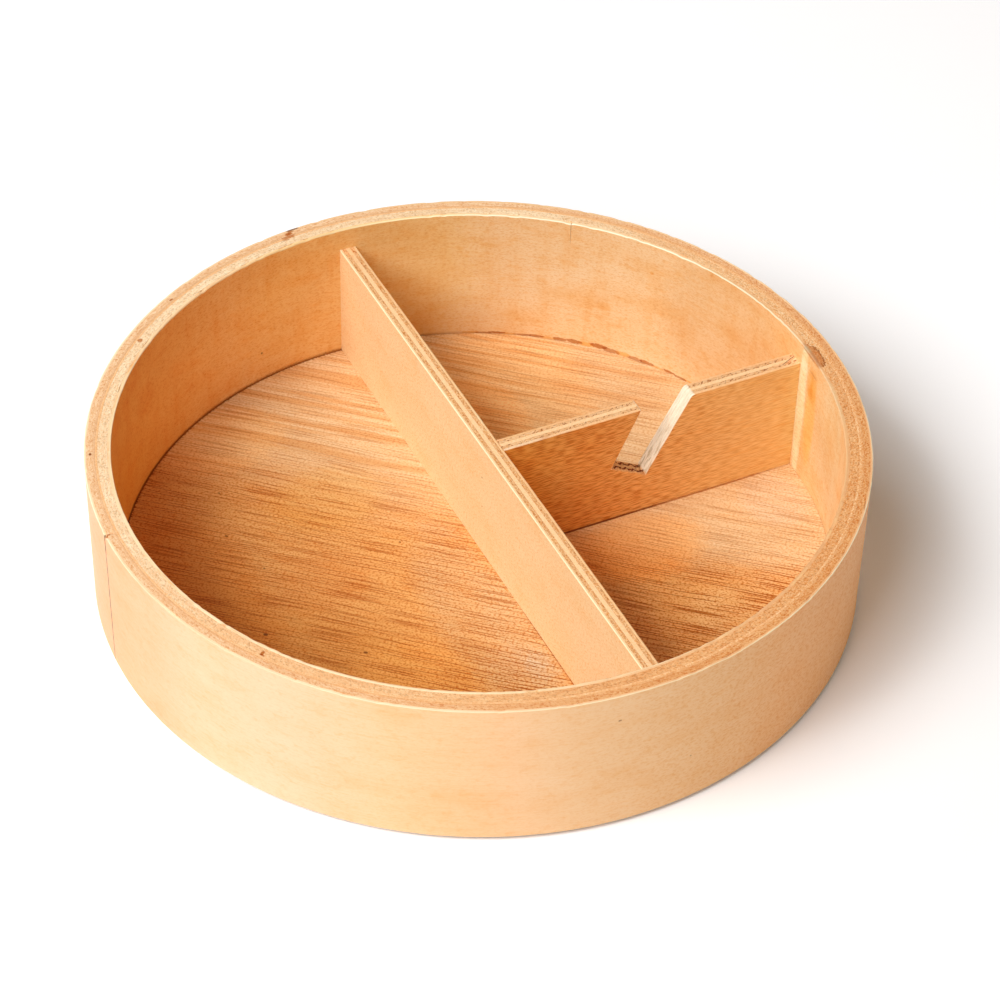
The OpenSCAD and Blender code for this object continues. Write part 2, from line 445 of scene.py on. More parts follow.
def board_sheet(node, slot, material, outline, at, t, place, ease_1, ease_2, rough, seed):
    """One sheet of a divider: the outline, from depth at to at + t, with its two edges worn round.
    rough is how far the slot's charred floor is uneven."""
    verts = []
    grain = []
    wear = []
    loops = []
    for k in range(CORNER_STEPS + 1):
        a = math.pi / 2 * k / CORNER_STEPS
        loops.append((at, 1, ease_1, 1 - math.sin(a), 1 - math.cos(a)))
    for k in range(CORNER_STEPS, -1, -1):
        a = math.pi / 2 * k / CORNER_STEPS
        loops.append((at + t, -1, ease_2, 1 - math.sin(a), 1 - math.cos(a)))
    offsets = [inward(outline, i) for i in range(len(outline))]
    lowest = DIVIDER_LOW + HIDDEN_MARGIN
    first = outline[0][0] + HIDDEN_MARGIN
    last = INNER_R - HIDDEN_MARGIN
    for start, way, ease, inset, depth in loops:
        for (u, z, kind), off in zip(outline, offsets):
            hidden = z < lowest or u < first or u > last
            slack = HIDDEN_EASE if hidden else ease * (1 + EASE_WANDER * wander(u / 4, z / 4, seed))
            jag = 0.0
            if kind == "char":
                jag = rough * (0.7 * wander(u * 1.1, at, seed + 2.3) + 0.5 * wander(u * 2.7, at, seed + 7.9))
            if kind == "cut" and z > DIVIDER_LOW + 1:
                jag = CUT_ROUGH * (1 + wander(u / 2, z / 2, seed + 1.7))
            move = inset * slack + jag
            w = start + way * depth * slack
            verts.append(place(u + off.x * move, z + off.y * move, w))
            grain.append((u, z, w - at))
            wear.append(FLAT if inset == 1.0 else WEAR[kind])
    add_piece(node, slot, material, verts, skin(len(loops), len(outline)), grain, wear)


def wall_reach(across):
    """How far a divider may reach along its length before it meets the rim."""
    return math.sqrt((INNER_R - DIVIDER_GAP) ** 2 - across ** 2)


def place_main(u, z, w):
    x = MAIN_X + w
    limit = wall_reach(x)
    return (x, min(max(u, -limit), limit), z)


def place_cross(u, z, w):
    y = CROSS_Y + w
    return (min(u, wall_reach(y)), y, z)


# Materials

class Graph:
    """Builds the nodes of a material or a world."""

    def __init__(self, tree):
        self.tree = tree
        self.tree.nodes.clear()

    def node(self, kind, **settings):
        made = self.tree.nodes.new(kind)
        for key, value in settings.items():
            setattr(made, key, value)
        return made

    def put(self, socket, value):
        if isinstance(value, bpy.types.NodeSocket):
            self.tree.links.new(value, socket)
        else:
            socket.default_value = value

    def math(self, operation, a, b=0.0):
        made = self.node("ShaderNodeMath", operation=operation)
        self.put(made.inputs[0], a)
        self.put(made.inputs[1], b)
        return made.outputs[0]

    def plus(self, a, b):
        return self.math("ADD", a, b)

    def times(self, a, b):
        return self.math("MULTIPLY", a, b)

    def vector(self, x, y, z):
        made = self.node("ShaderNodeCombineXYZ")
        for socket, value in zip(made.inputs, (x, y, z)):
            self.put(socket, value)
        return made.outputs[0]

    def split(self, vector):
        made = self.node("ShaderNodeSeparateXYZ")
        self.put(made.inputs[0], vector)
        return made.outputs[0], made.outputs[1], made.outputs[2]

    def rise(self, value, low, high):
        """0 below low, 1 above high, smooth between. With low above high it falls instead."""
        made = self.node("ShaderNodeMapRange", interpolation_type="SMOOTHSTEP")
        self.put(made.inputs["Value"], value)
        made.inputs["From Min"].default_value = low
        made.inputs["From Max"].default_value = high
        return made.outputs[0]

    def mix(self, share, a, b, blend="MIX"):
        made = self.node("ShaderNodeMix", data_type="RGBA", blend_type=blend)
        self.put(made.inputs[0], share)
        self.put(made.inputs[6], a)
        self.put(made.inputs[7], b)
        return made.outputs[2]

    def surface(self, shader, output="ShaderNodeOutputMaterial"):
        self.put(self.node(output).inputs["Surface"], shader.outputs[0])


def new_material(name):
    material = bpy.data.materials.new(name)
    material.use_nodes = True
    return material


class Wood(Graph):
    """A material that follows the sheet's own grain. u runs along it, v across and w through the sheet,
    in mm. On a bent sheet the grain noise takes its length from x and y, so that it closes round the ring."""

    def __init__(self, name, seed, bent=False):
        self.material = new_material(name)
        super().__init__(self.material.node_tree)
        self.seed = seed
        self.u, self.v, self.w = self.split(self.attribute("grain"))
        self.cut, self.slot_wall, self.char = self.split(self.attribute("wear"))
        x, y, z = self.split(self.node("ShaderNodeTexCoord").outputs["Object"])
        self.x = self.math("DIVIDE", x, MM)
        self.y = self.math("DIVIDE", y, MM)
        self.along = (self.x, self.y) if bent else (self.u, 0.0)

    def attribute(self, name):
        return self.node("ShaderNodeAttribute", attribute_name=name).outputs["Vector"]

    def grain(self, length, across, through, detail=2.0, roughness=0.5, bend=0.0):
        """Noise whose grains are about so many mm long, wide and deep. bend shifts it across the grain."""
        a = self.math("DIVIDE", self.along[0], length)
        b = self.math("DIVIDE", self.along[1], length)
        c = self.math("DIVIDE", self.plus(self.v, bend), across)
        deep = self.plus(self.math("DIVIDE", self.w, through), self.seed)
        return self.noise(a, b, c, detail, roughness, deep)

    def noise(self, a, b, c, detail=2.0, roughness=0.6, deep=None):
        """Plain noise over three lengths that are already in grains, or four where deep is given."""
        made = self.node("ShaderNodeTexNoise", noise_dimensions="3D" if deep is None else "4D")
        self.put(made.inputs["Vector"], self.vector(a, b, c))
        if deep is not None:
            self.put(made.inputs["W"], deep)
        made.inputs["Scale"].default_value = 1.0
        made.inputs["Detail"].default_value = detail
        made.inputs["Roughness"].default_value = roughness
        return made.outputs[0]

    def edge_grain(self, length, depth, lean=0.0, detail=2.0):
        """Noise on a cut edge, whose grains are about so many mm long and deep, and lean along it."""
        a = self.math("DIVIDE", self.plus(self.u, self.times(self.w, lean)), length)
        place = self.math("DIVIDE", self.plus(self.x, self.y), 4.0)
        return self.noise(a, self.math("DIVIDE", self.w, depth), self.plus(place, self.seed), detail)

    def towards(self, azimuth):
        """From -1 to 1 across the box, largest on the side that lies at an azimuth in degrees."""
        a = math.radians(azimuth)
        reach = self.plus(self.times(self.x, math.cos(a)), self.times(self.y, math.sin(a)))
        return self.math("DIVIDE", reach, OUTER_R)

    def tone(self, colour, share, tint):
        """Multiplies a colour by a tint, as far as share goes."""
        return self.mix(share, colour, (*tint, 1.0), "MULTIPLY")

    def turned(self, colour, turns):
        """Changes a colour from side to side of the box, which paints light and shade onto it. A turn is
        (azimuth, start, full, tint).
        """
        for azimuth, start, full, tint in turns:
            colour = self.tone(colour, self.rise(self.towards(azimuth), start, full), tint)
        return colour

    def stronger(self, gritty):
        """How strong the grit is, from gritty as (azimuth, far)."""
        azimuth, far = gritty
        return self.plus(self.times(self.rise(self.towards(azimuth), 0.2, 0.95), 1 - far), far)

    def blot(self, a, b, mark, ragged):
        """1 inside a mark's ellipse on the plane of a and b, 0 outside, with a ragged edge."""
        da = self.math("DIVIDE", self.math("SUBTRACT", a, mark["at"][0]), mark["half"][0])
        db = self.math("DIVIDE", self.math("SUBTRACT", b, mark["at"][1]), mark["half"][1])
        away = self.plus(self.times(da, da), self.times(db, db))
        away = self.plus(away, self.times(ragged, mark["ragged"]))
        return self.rise(away, 1 + mark["soft"], 1 - mark["soft"])

    def stain(self, colour, a, b, marks, size, amount):
        """Lays marks over a colour. size is that of the unevenness of their edges, in mm."""
        uneven = self.times(self.plus(self.grain(size, size, size, 3.0), -0.5), amount)
        for mark in marks:
            share = self.times(self.blot(a, b, mark, uneven), mark["share"])
            colour = self.tone(colour, share, mark["tint"])
        return colour

    def finish(self, colour, roughness, height, bump, specular=0.35):
        shader = self.node("ShaderNodeBsdfPrincipled")
        self.put(shader.inputs["Base Color"], colour)
        self.put(shader.inputs["Roughness"], roughness)
        shader.inputs["Specular IOR Level"].default_value = specular
        relief = self.node("ShaderNodeBump")
        relief.inputs["Strength"].default_value = bump
        relief.inputs["Distance"].default_value = BUMP_DEPTH * MM
        self.put(relief.inputs["Height"], height)
        self.put(shader.inputs["Normal"], relief.outputs[0])
        self.surface(shader)
        return self.material


def veneer(name, ground, edge, seed, bent=False, clouds=0.6, streaks=0.4, specks=0.4, fleck=(0.95, 0.36, 3.0),
           tint=SPECK, glint=PALER, smears=0.0, gritty=EVEN, edge_gritty=EVEN, worn=None, rubbed_gleam=RUBBED_GLEAM,
           turns=(), edge_turns=(), dull=(), foot=None, marks=(), cracks=()):
    """Smooth face veneer: cloudy ground, faint long streaks and fine flecks along the grain.
    fleck is their length, width and detail, tint and glint are their dark and light, smears is how strong
    the bands across the grain are, worn the depths between which a cut edge turns into the worn corner's
    colour, which is partly a painted highlight, dull the sides on which that highlight is dimmed, and foot
    the azimuth of the side on which painted shade darkens the wall just above its foot."""
    g = Wood(name, seed, bent)
    grainy = g.times(g.stronger(gritty), specks)
    cloud = g.grain(22.0, 10.0, 9.0, 4.0, 0.6)
    blotch = g.grain(3.6, 1.9, 4.0, 3.0, 0.6)
    streak = g.grain(16.0, 0.55, 4.0, 3.0, 0.65)
    flecks = g.grain(fleck[0], fleck[1], 1.2, fleck[2], 0.65)
    colour = g.turned(ground, turns)
    colour = g.tone(colour, g.times(g.rise(cloud, 0.48, 0.68), clouds), DEEPER)
    colour = g.tone(colour, g.times(g.rise(cloud, 0.5, 0.32), clouds), PALER)
    colour = g.tone(colour, g.times(g.rise(blotch, 0.5, 0.7), clouds), DEEPER)
    colour = g.tone(colour, g.times(g.rise(streak, 0.5, 0.64), streaks), DEEPER)
    if smears:
        smear = g.grain(5.0, 40.0, 9.0, 4.0, 0.6)
        smeared = g.times(g.stronger(gritty), smears)
        colour = g.tone(colour, g.times(g.rise(smear, 0.5, 0.64), smeared), DEEPER)
        colour = g.tone(colour, g.times(g.rise(smear, 0.47, 0.34), smeared), PALER)
    colour = g.tone(colour, g.times(g.rise(flecks, 0.51, 0.62), grainy), tint)
    colour = g.tone(colour, g.times(g.rise(flecks, 0.48, 0.36), grainy), glint)
    # Painted shade: a dark band along the wall just above its foot, on one side
    if foot is not None:
        low = g.rise(g.plus(g.v, g.times(g.plus(flecks, -0.5), 3.0)), 3.4, 2.3)
        colour = g.tone(colour, g.times(low, g.rise(g.towards(foot), 0.1, 0.7)), FOOT_SHADE)
    top = cut_edge(g, g.turned(edge, edge_turns), VENEER_GRIT, edge_gritty)
    colour = g.mix(g.times(g.cut, g.rise(streak, 0.25, 0.55)), colour, top)
    # The worn corner is paler wood and partly a painted highlight, dimmed on some sides by dull
    if worn:
        corner_share = g.rise(g.plus(g.w, g.times(g.plus(streak, -0.5), 0.6)), *worn)
        colour = g.mix(g.times(g.cut, corner_share), colour, g.turned(rubbed_gleam, dull))
    colour = g.stain(colour, g.u, g.v, marks, 1.1, 1.3)
    colour = cracked(g, colour, cracks)
    colour = slot_cut(g, colour)
    rough = g.plus(g.times(flecks, 0.15), 0.42)
    height = g.math("SUBTRACT", g.times(streak, 0.6), g.times(g.rise(flecks, 0.54, 0.68), 0.6))
    return g.finish(colour, rough, height, 0.15)


def cut_edge(g, colour, grit, gritty):
    """Pale and dark grit of a sawn and sanded edge."""
    share = g.times(g.stronger(gritty), grit)
    worms = g.edge_grain(0.62, 0.5, 0.5)
    fine = g.edge_grain(0.34, 0.3)
    colour = g.tone(colour, g.times(g.rise(worms, 0.52, 0.6), share), SPECK)
    colour = g.tone(colour, g.times(g.rise(worms, 0.47, 0.39), share), LIGHT)
    return g.tone(colour, g.times(g.rise(fine, 0.53, 0.63), share), SPECK)


def core(name, light, brown, pore, hatch, seed, bent=False, dashed=0.75, streaky=0.6, grit=0.6, gritty=EVEN,
         turns=(), marks=(), cracks=()):
    """Cut edge of a ply whose grain stands on end: pores and short dashes over a streaky ground."""
    g = Wood(name, seed, bent)
    slow = g.grain(24.0, 40.0, 6.0, 2.0)
    bands = g.edge_grain(5.0, 0.55, 0.0, 3.0)
    dashes = g.edge_grain(0.75, 0.7, hatch)
    colour = g.mix(g.times(g.rise(bands, 0.4, 0.62), streaky), light, brown)
    colour = g.mix(g.times(g.rise(slow, 0.4, 0.7), 0.4), colour, brown)
    colour = g.mix(g.times(g.rise(dashes, 0.55, 0.62), dashed), colour, pore)
    colour = cut_edge(g, colour, grit, gritty)
    colour = g.turned(colour, turns)
    colour = g.stain(colour, g.u, g.w, marks, 0.7, 1.2)
    colour = cracked(g, colour, cracks)
    colour = slot_cut(g, colour)
    rough = g.plus(g.times(dashes, 0.2), 0.5)
    height = g.times(g.rise(dashes, 0.62, 0.5), 0.8)
    return g.finish(colour, rough, height, 0.3, specular=0.08)


def bare_wall(g):
    """Pale torn fibres on the slot's walls, greyer towards its foot. They run on from ply to ply."""
    along = g.math("DIVIDE", g.v, 3.2)
    fibres = g.noise(along, g.math("DIVIDE", g.y, 0.55), 2.7, 3.0, 0.65)
    low = g.plus(g.times(g.rise(g.v, DIVIDER_TOP - 4, SLOT_LOW[1]), 0.7), 0.25)
    return g.mix(g.times(g.rise(fibres, 0.45, 0.62), low), SLOT_PALE, SLOT_GREY)


def slot_cut(g, colour):
    """The slot's walls are bare. Its floor is scorched, with two burnt zig-zag lines along it."""
    colour = g.mix(g.times(g.slot_wall, 0.9), colour, bare_wall(g))
    colour = g.tone(colour, g.times(g.char, 0.8), SCORCH)
    uneven = g.times(g.plus(g.edge_grain(0.9, 0.5), -0.5), 0.5)
    zig = g.times(g.plus(g.math("PINGPONG", g.u, ZIG_STEP), -ZIG_STEP / 2), 2 * ZIG_REACH / ZIG_STEP)
    for middle in (-ZIG_LINE, ZIG_LINE):
        away = g.math("ABSOLUTE", g.plus(g.plus(g.y, zig), -middle))
        burnt = g.rise(g.plus(away, uneven), 0.55, 0.25)
        colour = g.tone(colour, g.times(g.char, burnt), BURNT)
    return colour


def cracked(g, colour, cracks):
    """Lays splits over a colour. They run aslant, so they are placed on x and on y less its share of x."""
    aslant = g.math("SUBTRACT", g.y, g.times(g.x, SPLIT_SLOPE))
    return g.stain(colour, g.x, aslant, cracks, 0.6, 0.8) if cracks else colour


def base_wood(name, seed, marks, patches):
    """Open-grained veneer: pale banded wood on one side, orange in the middle and brown on the other,
    under fine straight pore lines. patches are placed on x and y."""
    g = Wood(name, seed)
    bend = g.times(g.plus(g.grain(70.0, 22.0, 20.0, 2.0), -0.5), 4.0)
    zone = g.plus(g.v, g.times(g.plus(g.grain(60.0, 14.0, 20.0, 3.0), -0.5), 30.0))
    bands = g.grain(110.0, 2.8, 9.0, 2.0, 0.55, bend)
    lines = g.grain(40.0, 1.1, 9.0, 1.0, 0.5, bend)
    pores = g.grain(20.0, 0.46, 9.0, 0.0, 0.5, bend)
    patch = g.grain(13.0, 7.0, 9.0, 3.0, 0.6)
    grit = g.grain(0.75, 0.62, 9.0, 1.0, 0.5)
    pale_side = g.rise(zone, 1.0, 34.0)
    brown_side = g.rise(zone, -18.0, -62.0)
    back_side = g.rise(g.towards(110), -0.3, 0.6)
    front_side = g.rise(g.towards(275), 0.2, 0.6)
    lined = g.plus(g.plus(g.times(pale_side, -0.27), g.times(front_side, 0.45)), 0.67)
    banded = g.plus(g.times(pale_side, g.plus(g.times(back_side, 0.75), 0.15)), 0.1)
    gritted = g.plus(g.plus(g.times(pale_side, -0.35), g.times(front_side, 0.2)), 0.8)
    colour = g.mix(pale_side, BASE_ORANGE, BASE_PALE)
    colour = g.mix(brown_side, colour, BASE_BROWN)
    colour = g.stain(colour, g.x, g.y, patches, 1.6, 0.9)
    colour = g.tone(colour, g.times(g.rise(bands, 0.48, 0.62), banded), BAND)
    colour = g.tone(colour, g.times(g.rise(bands, 0.46, 0.3), banded), LIGHT)
    colour = g.tone(colour, g.times(g.rise(patch, 0.52, 0.68), g.plus(g.times(pale_side, -0.2), 0.45)), PATCH)
    colour = g.tone(colour, g.times(g.rise(lines, 0.5, 0.6), g.times(lined, 0.22)), LINE)
    colour = g.tone(colour, g.times(g.rise(lines, 0.46, 0.36), 0.2), LIGHT)
    colour = g.tone(colour, g.times(g.rise(pores, 0.54, 0.64), lined), PORE)
    colour = g.tone(colour, g.times(g.rise(pores, 0.46, 0.38), g.times(lined, 0.8)), LIGHT)
    colour = g.tone(colour, g.times(g.rise(grit, 0.52, 0.62), gritted), GRIT)
    colour = g.tone(colour, g.times(g.rise(grit, 0.48, 0.39), gritted), LIGHT)
    # Painted shade along the rim's foot
    colour = g.tone(colour, rim_foot_shade(g, grit), FOOT_SHADE)
    colour = g.stain(colour, g.u, g.v, marks, 0.8, 1.2)
    rough = g.plus(g.times(lines, 0.2), 0.42)
    height = g.math("SUBTRACT", g.times(lines, 0.5), g.rise(pores, 0.54, 0.68))
    return g.finish(colour, rough, height, 0.35, specular=0.15)


def rim_foot_shade(g, grit):
    """Painted shade: a dark line on the base along the left wall, where it meets the rim."""
    out = g.math("SQRT", g.plus(g.times(g.x, g.x), g.times(g.y, g.y)))
    near = g.rise(g.plus(out, g.times(g.plus(grit, -0.5), 1.2)), BASE_R - 0.7, BASE_R - 0.15)
    return g.times(near, g.rise(g.towards(FOOT_SHADE_SIDE), 0.1, 0.6))


# Marks of age, and some painted light and shade, placed where the photograph shows them

def on_bent(seam, r):
    """A function that places a mark on a bent sheet, from its angle and its second length in mm."""
    def place(angle, second):
        return (math.radians((angle - seam) % 360) * r, second)
    return place


def on_base(x, y):
    """A place on the base, along and across its grain."""
    a = math.radians(BASE_GRAIN)
    return (x * math.cos(a) + y * math.sin(a), -x * math.sin(a) + y * math.cos(a))


def mark(at, half, tint, share, soft=0.6, ragged=1.0):
    """A stain: its middle and half sizes in mm on the sheet, its colour, how much of it shows,
    and how soft and how ragged its edge is."""
    return {"at": at, "half": half, "tint": tint, "share": share, "soft": soft, "ragged": ragged}


def base_marks():
    places = [(-60.9, 57.4, 0.3), (-66.2, 38.1, 0.4), (-71.7, -6.7, 0.6), (-48.0, -25.7, 0.5)]
    places += [(-19.3, 14.0, 0.3), (-61.2, 20.0, 0.3)]
    return [mark(on_base(x, y), (1.3 * half, 0.8 * half), INK, 0.85) for x, y, half in places]


def base_patches():
    """Broad changes of colour, some of them painted light and shade: sheen and reflected light beside the
    main divider, shade beside its right foot and near the left wall, and dark lines of shadow at the
    dividers' feet.
    """
    return [
        # Painted sheen: light reflected from the main divider onto the base beside it
        mark((-10.0, -26.0), (14.0, 40.0), PAINTED_SHEEN, 0.8),
        mark((-12.0, -68.0), (14.0, 26.0), PAINTED_SHEEN, 0.65),
        # Painted reflected light from the main divider, along its left foot
        mark((-3.0, -32.0), (7.0, 24.0), REFLECTED_LIGHT, 0.8),
        mark((-2.0, -58.0), (7.0, 13.0), REFLECTED_LIGHT, 1.0),
        # Painted shade beside the main divider's right foot
        mark((29.0, -48.0), (6.0, 20.0), DIVIDER_SHADE, 0.25),
        mark((-51.0, 80.0), (20.0, 14.0), GOLD, 1.0),
        mark((44.0, 66.0), (24.0, 32.0), EMBER, 1.0),
        mark((33.0, 58.0), (10.0, 18.0), EMBER, 0.9),
        mark((-47.0, 8.0), (16.0, 12.0), TAN, 1.0),
        mark((-32.0, 41.0), (18.0, 14.0), HONEY, 0.4),
        mark((73.0, 55.0), (18.0, 18.0), TAN, 0.7),
        mark((-41.0, -37.0), (16.0, 12.0), FRESH, 1.0),
        # Painted sheen on the base near the right wall
        mark((94.0, -16.0), (10.0, 12.0), PAINTED_SHEEN, 0.3),
        # Painted shade on the base in the left wall's shadow
        mark((-80.0, 15.0), (16.0, 40.0), PATCH, 0.8),
        mark((46.0, -18.0), (20.0, 14.0), PATCH, 0.5),
        mark((46.0, -18.0), (20.0, 14.0), EMBER, 1.0),
        mark((44.0, -44.0), (18.0, 14.0), FRESH, 1.0),
        mark((60.0, -56.0), (16.0, 12.0), MUTED, 0.65),
        # Painted shadow: dark lines in the gaps under the dividers' feet
        mark((62.0, CROSS_Y - 0.2), (40.0, 0.5), RUST, 0.9),
        mark((32.0, CROSS_Y - 0.2), (28.0, 0.5), TICK, 0.9),
        mark((MAIN_X - 0.1, -62.0), (0.25, 34.0), RUST, 0.6),
    ]


def outer_wall_marks():
    r = OUTER_R - OUTER_FACE_T / 2
    place = on_bent(OUTER_SEAM, r)
    round_it = 2 * math.pi * r
    return [
        mark(place(264.1, 40.8), (0.5, 0.3), TICK, 0.8),
        mark(place(275.6, 17.5), (0.3, 0.3), TICK, 0.5),
        mark(place(96.0, 49.9), (2.0, 0.6), INK, 0.9),
        mark((0.0, 22.0), (0.45, 26.0), SEAM_LINE, 1.0, 0.4),
        mark((0.0, 38.0), (0.4, 3.0), SEAM_LINE, 0.9, 0.4),
        mark((0.0, 49.4), (0.9, 0.7), RUST, 0.9),
        mark((round_it, 22.0), (0.2, 26.0), SEAM_LINE, 0.8, 0.4),
    ]


def glue_marks(place):
    """Rough glue along the foot of the back wall."""
    rows = []
    for k in range(GLUE_BLOTS):
        angle = GLUE_FROM + (GLUE_TO - GLUE_FROM) * k / (GLUE_BLOTS - 1)
        swing = wander(k * 0.9, 0.3, 4.0)
        thick = 0.4 + 0.5 * smooth(16, 0, abs(angle - GLUE_THICKEST))
        at = place(angle, 2.4 + thick * (0.6 + swing))
        rows.append(mark(at, (2.9, thick), RUST if k % 3 else AMBER, 0.8 + 0.3 * swing, 0.4, 2.0))
    return rows


def inner_wall_marks():
    place = on_bent(INNER_SEAM, INNER_FACE_R - INNER_FACE_T / 2)
    rows = [
        # Painted highlight: a pale strip on the wall beside the cross divider's end
        mark(place(357.3, 26.0), (2.5, 28.0), PAINTED_GLEAM, 0.9),
        mark(place(344.0, 26.0), (15.0, 28.0), SOFTER, 1.0),
        mark(place(18.0, 28.0), (24.0, 30.0), SHADED, 1.0),
        mark(place(353.7, 27.0), (3.4, 16.0), HONEY, 0.9),
        mark(place(87.0, 32.0), (40.0, 40.0), HONEY, 0.5),
        mark(place(353.4, 40.0), (2.2, 6.5), AMBER, 0.5),
        mark(place(354.7, 40.5), (2.0, 5.5), AMBER, 0.6),
        mark(place(354.4, 37.0), (1.7, 2.4), AMBER, 0.5),
        mark(place(354.0, 44.4), (2.6, 0.5), RUST, 0.35),
        mark(place(355.4, 49.9), (6.0, 1.0), FILLER, 1.0),
        mark(place(34.0, 39.2), (0.7, 0.6), AMBER, 0.7),
        mark(place(42.6, 20.0), (2.4, 1.6), AMBER, 0.45),
        mark(place(136.0, 32.0), (6.0, 5.0), AMBER, 0.35),
        mark(place(104.9, 12.8), (0.4, 0.4), INK, 0.7),
    ]
    return rows + glue_marks(place)


def outer_core_marks():
    place = on_bent(OUTER_SEAM, OUTER_CORE_R - OUTER_CORE_T / 2)
    return [
        mark((0.2, 0.3), (0.9, 0.7), RUST, 0.9),
        mark(place(96.4, 0.4), (1.1, 0.4), RUST, 0.9),
        mark(place(97.0, 1.2), (1.3, 0.6), RUST, 1.0),
        mark(place(121.9, 1.6), (0.7, 0.4), RUST, 1.0),
        mark(place(160.9, 1.1), (0.5, 0.4), TICK, 1.0),
    ]


def back_marks(seam, r):
    """The knot's end, on the two sheets in the middle of the rim."""
    return [mark(on_bent(seam, r)(97.4, 0.3), (2.2, 0.8), RUST, 0.7)]


def inner_core_marks():
    """The filled patch with its dark outline, a smudge at the knot and two ticks."""
    place = on_bent(INNER_SEAM, INNER_CORE_R - INNER_CORE_T / 2)
    return [
        mark(place(355.35, 2.6), (5.6, 1.9), FILLER_EDGE, 1.0, 0.2, 1.8),
        mark(place(355.45, 2.75), (4.9, 1.6), FILLER_FILL, 1.0, 0.3, 1.8),
        mark(place(98.1, 0.4), (1.2, 0.4), RUST, 0.5),
        mark(place(132.9, 0.7), (0.9, 0.8), RUST, 0.9),
        mark(place(213.0, 0.1), (0.8, 0.5), RUST, 1.0),
        mark(place(212.8, 0.9), (0.5, 0.9), RUST, 1.0),
    ]


def main_face_marks():
    return [
        mark((0.8, 31.5), (0.3, 0.3), INK, 0.8),
        mark((0.4, 20.3), (0.25, 0.25), TICK, 0.8),
    ]


def cross_face_marks():
    return [mark((13.0, 25.0), (17.0, 34.0), MUTED, 0.85)]


def split_marks():
    """The split near the wall in the cross divider's top, with a bruise beside it."""
    lift = SPLIT_AT[1] - SPLIT_SLOPE * SPLIT_AT[0]
    return [
        mark((SPLIT_AT[0] + 0.8, lift - 0.5), (2.2, 0.35), BRUISE, 0.6),
        mark((SPLIT_AT[0], lift), (3.2, 0.16), INK, 0.85),
    ]


# The woods

def rim_woods():
    outer_back_r = OUTER_BACK_R - BACK_T / 2
    inner_back_r = INNER_BACK_R - BACK_T / 2
    return {
        "outer_face": veneer(
            "outer_veneer_wood", srgb(252, 203, 154), srgb(253, 224, 184), 0.0, bent=True,
            clouds=0.5, streaks=0.3, specks=0.85, fleck=(1.2, 0.55, 2.0), gritty=(330, 0.2),
            edge_gritty=RIM_GRITTY, worn=(0.42, 0.15),
            # The turns paint light and shade: the face is paler at the front and front-left, where the lamps
            # fall, darker on the right and round the back-left. Its top edge is darker on the right and at
            # the back, and the highlight on its worn corner is dimmed on several sides
            turns=[(150, 0.55, 1.0, (0.96, 0.80, 0.78)), (-25, -0.25, 0.85, (0.90, 0.79, 0.63)),
                   (208, 0.9, 1.0, (1.0, 1.02, 1.16)), (268, 0.9, 1.0, (0.96, 1.06, 1.16)),
                   (185, 0.94, 1.0, (0.99, 0.91, 0.85))],
            edge_turns=[(310, 0.2, 0.9, (0.83, 0.62, 0.47)), (70, 0.6, 1.0, (0.85, 0.75, 0.62))],
            dull=[(238, 0.3, 0.8, (0.90, 0.80, 0.70)), (72, 0.6, 0.95, (0.78, 0.55, 0.38)),
                  (195, 0.8, 1.0, (0.92, 0.86, 0.80))],
            marks=outer_wall_marks()),
        "inner_face": veneer(
            "inner_veneer_wood", srgb(241, 197, 141), srgb(249, 212, 166), 40.0, bent=True,
            clouds=0.8, streaks=0.5, specks=0.9, smears=0.7, gritty=(150, 0.6), edge_gritty=RIM_GRITTY,
            # The dark band at the wall's foot is painted shade
            worn=(0.5, 0.8), tint=FRECKLE, foot=FOOT_SHADE_SIDE,
            # The turns and dull paint light and shade: the wall is darker and deeper orange on the shaded
            # left and paler at the back right. Its top edge is paler at the front-left and darker on the
            # right, and the highlight on its worn corner is dimmed on several sides
            turns=[(175, -0.1, 1.0, (0.93, 0.61, 0.19)), (46, 0.7, 1.0, (1.0, 1.12, 1.30))],
            edge_turns=[(322, 0.2, 0.9, (0.82, 0.62, 0.48)), (215, 0.5, 0.95, (1.10, 1.20, 1.32))],
            dull=[(265, 0.4, 0.85, (0.90, 0.74, 0.60)), (325, 0.5, 0.95, (0.77, 0.51, 0.33)),
                  (115, 0.7, 1.0, (0.75, 0.49, 0.31)), (190, 0.3, 0.9, (0.95, 0.82, 0.70))],
            marks=inner_wall_marks()),
        "outer_core": core(
            "outer_core_wood", srgb(241, 194, 146), srgb(227, 164, 110), srgb(212, 130, 70), 0.5, 0.0,
            bent=True, dashed=0.6, grit=1.0, gritty=RIM_GRITTY,
            # The turns paint light and shade on the rim's top: paler towards the lit back-left, darker
            # towards the front-right
            turns=[(130, -0.6, 0.5, (1.03, 1.18, 1.36)), (305, 0.3, 0.9, (0.92, 0.82, 0.67))],
            marks=outer_core_marks()),
        "inner_core": core(
            "inner_core_wood", srgb(247, 206, 158), srgb(232, 174, 120), srgb(196, 140, 92), 0.3, 30.0,
            bent=True, dashed=0.5, grit=1.0, gritty=RIM_GRITTY,
            # The turns paint light and shade on the rim's top: paler towards the lit back-left, darker
            # towards the front-right
            turns=[(120, -0.1, 0.5, (1.04, 1.26, 1.55)), (300, 0.2, 0.9, (0.92, 0.79, 0.66))],
            marks=inner_core_marks()),
        "outer_back": core(
            "outer_back_wood", srgb(238, 184, 130), srgb(228, 168, 114), srgb(210, 144, 90), 0.5, 160.0,
            bent=True, dashed=0.3, grit=1.0, gritty=RIM_GRITTY,
            # The turn paints light on the rim's top: paler towards the back-left
            turns=[(130, -0.3, 0.8, (0.98, 1.10, 1.32))], marks=back_marks(OUTER_SEAM, outer_back_r)),
        "inner_back": core(
            "inner_back_wood", srgb(245, 200, 150), srgb(239, 185, 131), srgb(223, 159, 105), 0.3, 165.0,
            bent=True, dashed=0.3, grit=1.0, gritty=RIM_GRITTY, marks=back_marks(INNER_SEAM, inner_back_r)),
    }


